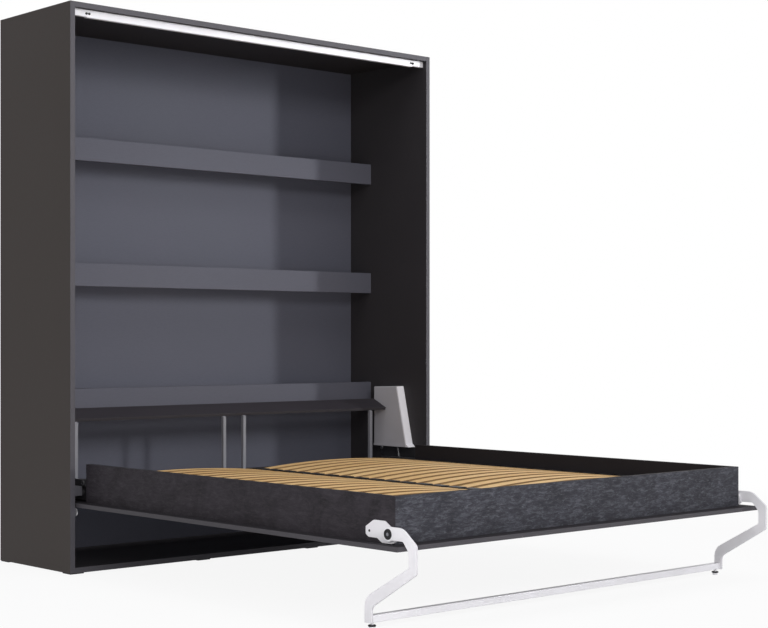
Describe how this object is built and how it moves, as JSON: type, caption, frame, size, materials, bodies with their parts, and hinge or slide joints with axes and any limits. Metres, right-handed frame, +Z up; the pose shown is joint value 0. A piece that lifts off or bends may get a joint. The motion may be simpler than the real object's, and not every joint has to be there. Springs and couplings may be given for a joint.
{
  "type": "wall bed",
  "caption": "Vertical fold-down wall bed: dark cabinet with back rails, slatted double bed base on side pivots with gas springs, and a white steel folding leg frame.",
  "frame": {"origin": "middle of the floor under the whole open bed", "axes": "+X across to the right seen from the foot, +Y from the foot of the open bed to the wall, +Z up"},
  "size_m": [1.997, 2.5226, 2.344],
  "materials": {
    "dark_board": "smooth dark laminate",
    "back_board": "smooth grey-blue laminate",
    "border_cover": "board wrapped in mottled dark grey covering",
    "black_frame": "matt black stain",
    "beech": "light varnished beech",
    "white_steel": "satin white powder coat",
    "dark_steel": "matt black powder coat",
    "zinc_steel": "zinc plated",
    "silver_tube": "satin silver",
    "chrome_rod": "polished",
    "grey_plastic": "fine matt grain",
    "black_plastic": "matt",
    "foot_rubber": "matt black"
  },
  "bodies": {
    "cabinet": {"left_side_panel": "dark_board", "right_side_panel": "dark_board", "top_panel": "dark_board", "bottom_panel": "dark_board", "back_panel": "back_board", "cross_rail_lower": "back_board", "cross_rail_middle": "back_board", "cross_rail_upper": "back_board", "top_steel_rail": "white_steel", "rail_screws": "dark_steel", "cabinet_glides": "black_plastic", "wall_brackets": "zinc_steel", "mechanism_plate_left": "dark_steel", "mechanism_plate_right": "dark_steel", "plate_bolts": "zinc_steel", "pivot_blocks": "zinc_steel", "side_glides": "zinc_steel", "spring_anchor_pins": "zinc_steel", "mechanism_cover_left": "grey_plastic", "mechanism_cover_right": "grey_plastic"},
    "bed": {"front_panel": "dark_board", "border_left": "border_cover", "border_right": "border_cover", "foot_board": "border_cover", "frame_rail_left": "black_frame", "frame_rail_right": "black_frame", "head_rail": "black_frame", "foot_rail": "black_frame", "centre_beam": "black_frame", "slats_left": "beech", "slats_right": "beech", "slat_holders_outer": "black_plastic", "slat_holders_centre": "black_plastic", "panel_battens": "black_frame", "hinge_arm_left": "dark_steel", "hinge_arm_right": "dark_steel", "arm_bolts": "dark_steel", "pivot_pins": "zinc_steel", "head_posts": "silver_tube", "head_ledge": "dark_board", "leg_brackets": "white_steel", "bracket_bolts": "dark_steel"},
    "leg_frame": {"leg_left": "white_steel", "leg_right": "white_steel", "leg_crossbar": "white_steel", "leg_bolts": "zinc_steel", "leg_caps": "black_plastic", "leg_feet": "foot_rubber"},
    "spring_cylinder_left": {"spring_cylinder_left": "dark_steel"},
    "spring_rod_left": {"spring_rod_left": "chrome_rod"},
    "spring_cylinder_right": {"spring_cylinder_right": "dark_steel"},
    "spring_rod_right": {"spring_rod_right": "chrome_rod"}
  },
  "joints": [
    {"name": "bed_tilt", "type": "hinge", "parent": "cabinet", "child": "bed", "pos_m": [0, 0.75525, 0.323], "axis": [-1, 0, 0], "range_deg": [0, 90]},
    {"name": "leg_fold", "type": "hinge", "parent": "bed", "child": "leg_frame", "pos_m": [0, -1.12975, 0.319], "axis": [-1, 0, 0], "range_deg": [0, 190.5]},
    {"name": "spring_swing_left", "type": "hinge", "parent": "cabinet", "child": "spring_cylinder_left", "pos_m": [-0.95225, 0.92625, 0.674], "axis": [-1, 0, 0], "range_deg": [0, 5.2]},
    {"name": "spring_travel_left", "type": "slide", "parent": "spring_cylinder_left", "child": "spring_rod_left", "axis": [0, -0.1864, -0.9825], "range_m": [0, 0.166]},
    {"name": "spring_swing_right", "type": "hinge", "parent": "cabinet", "child": "spring_cylinder_right", "pos_m": [0.95225, 0.92625, 0.674], "axis": [-1, 0, 0], "range_deg": [0, 5.2]},
    {"name": "spring_travel_right", "type": "slide", "parent": "spring_cylinder_right", "child": "spring_rod_right", "axis": [0, -0.1864, -0.9825], "range_m": [0, 0.166]}
  ],
  "couplings": [
    {"joint": "leg_fold", "follows": "bed_tilt", "ratio": 2.1111},
    {"joint": "spring_swing_left", "follows": "bed_tilt", "ratio": 0.05618},
    {"joint": "spring_travel_left", "follows": "bed_tilt", "m_per_rad": 0.10481},
    {"joint": "spring_swing_right", "follows": "bed_tilt", "ratio": 0.05618},
    {"joint": "spring_travel_right", "follows": "bed_tilt", "m_per_rad": 0.10481}
  ]
}
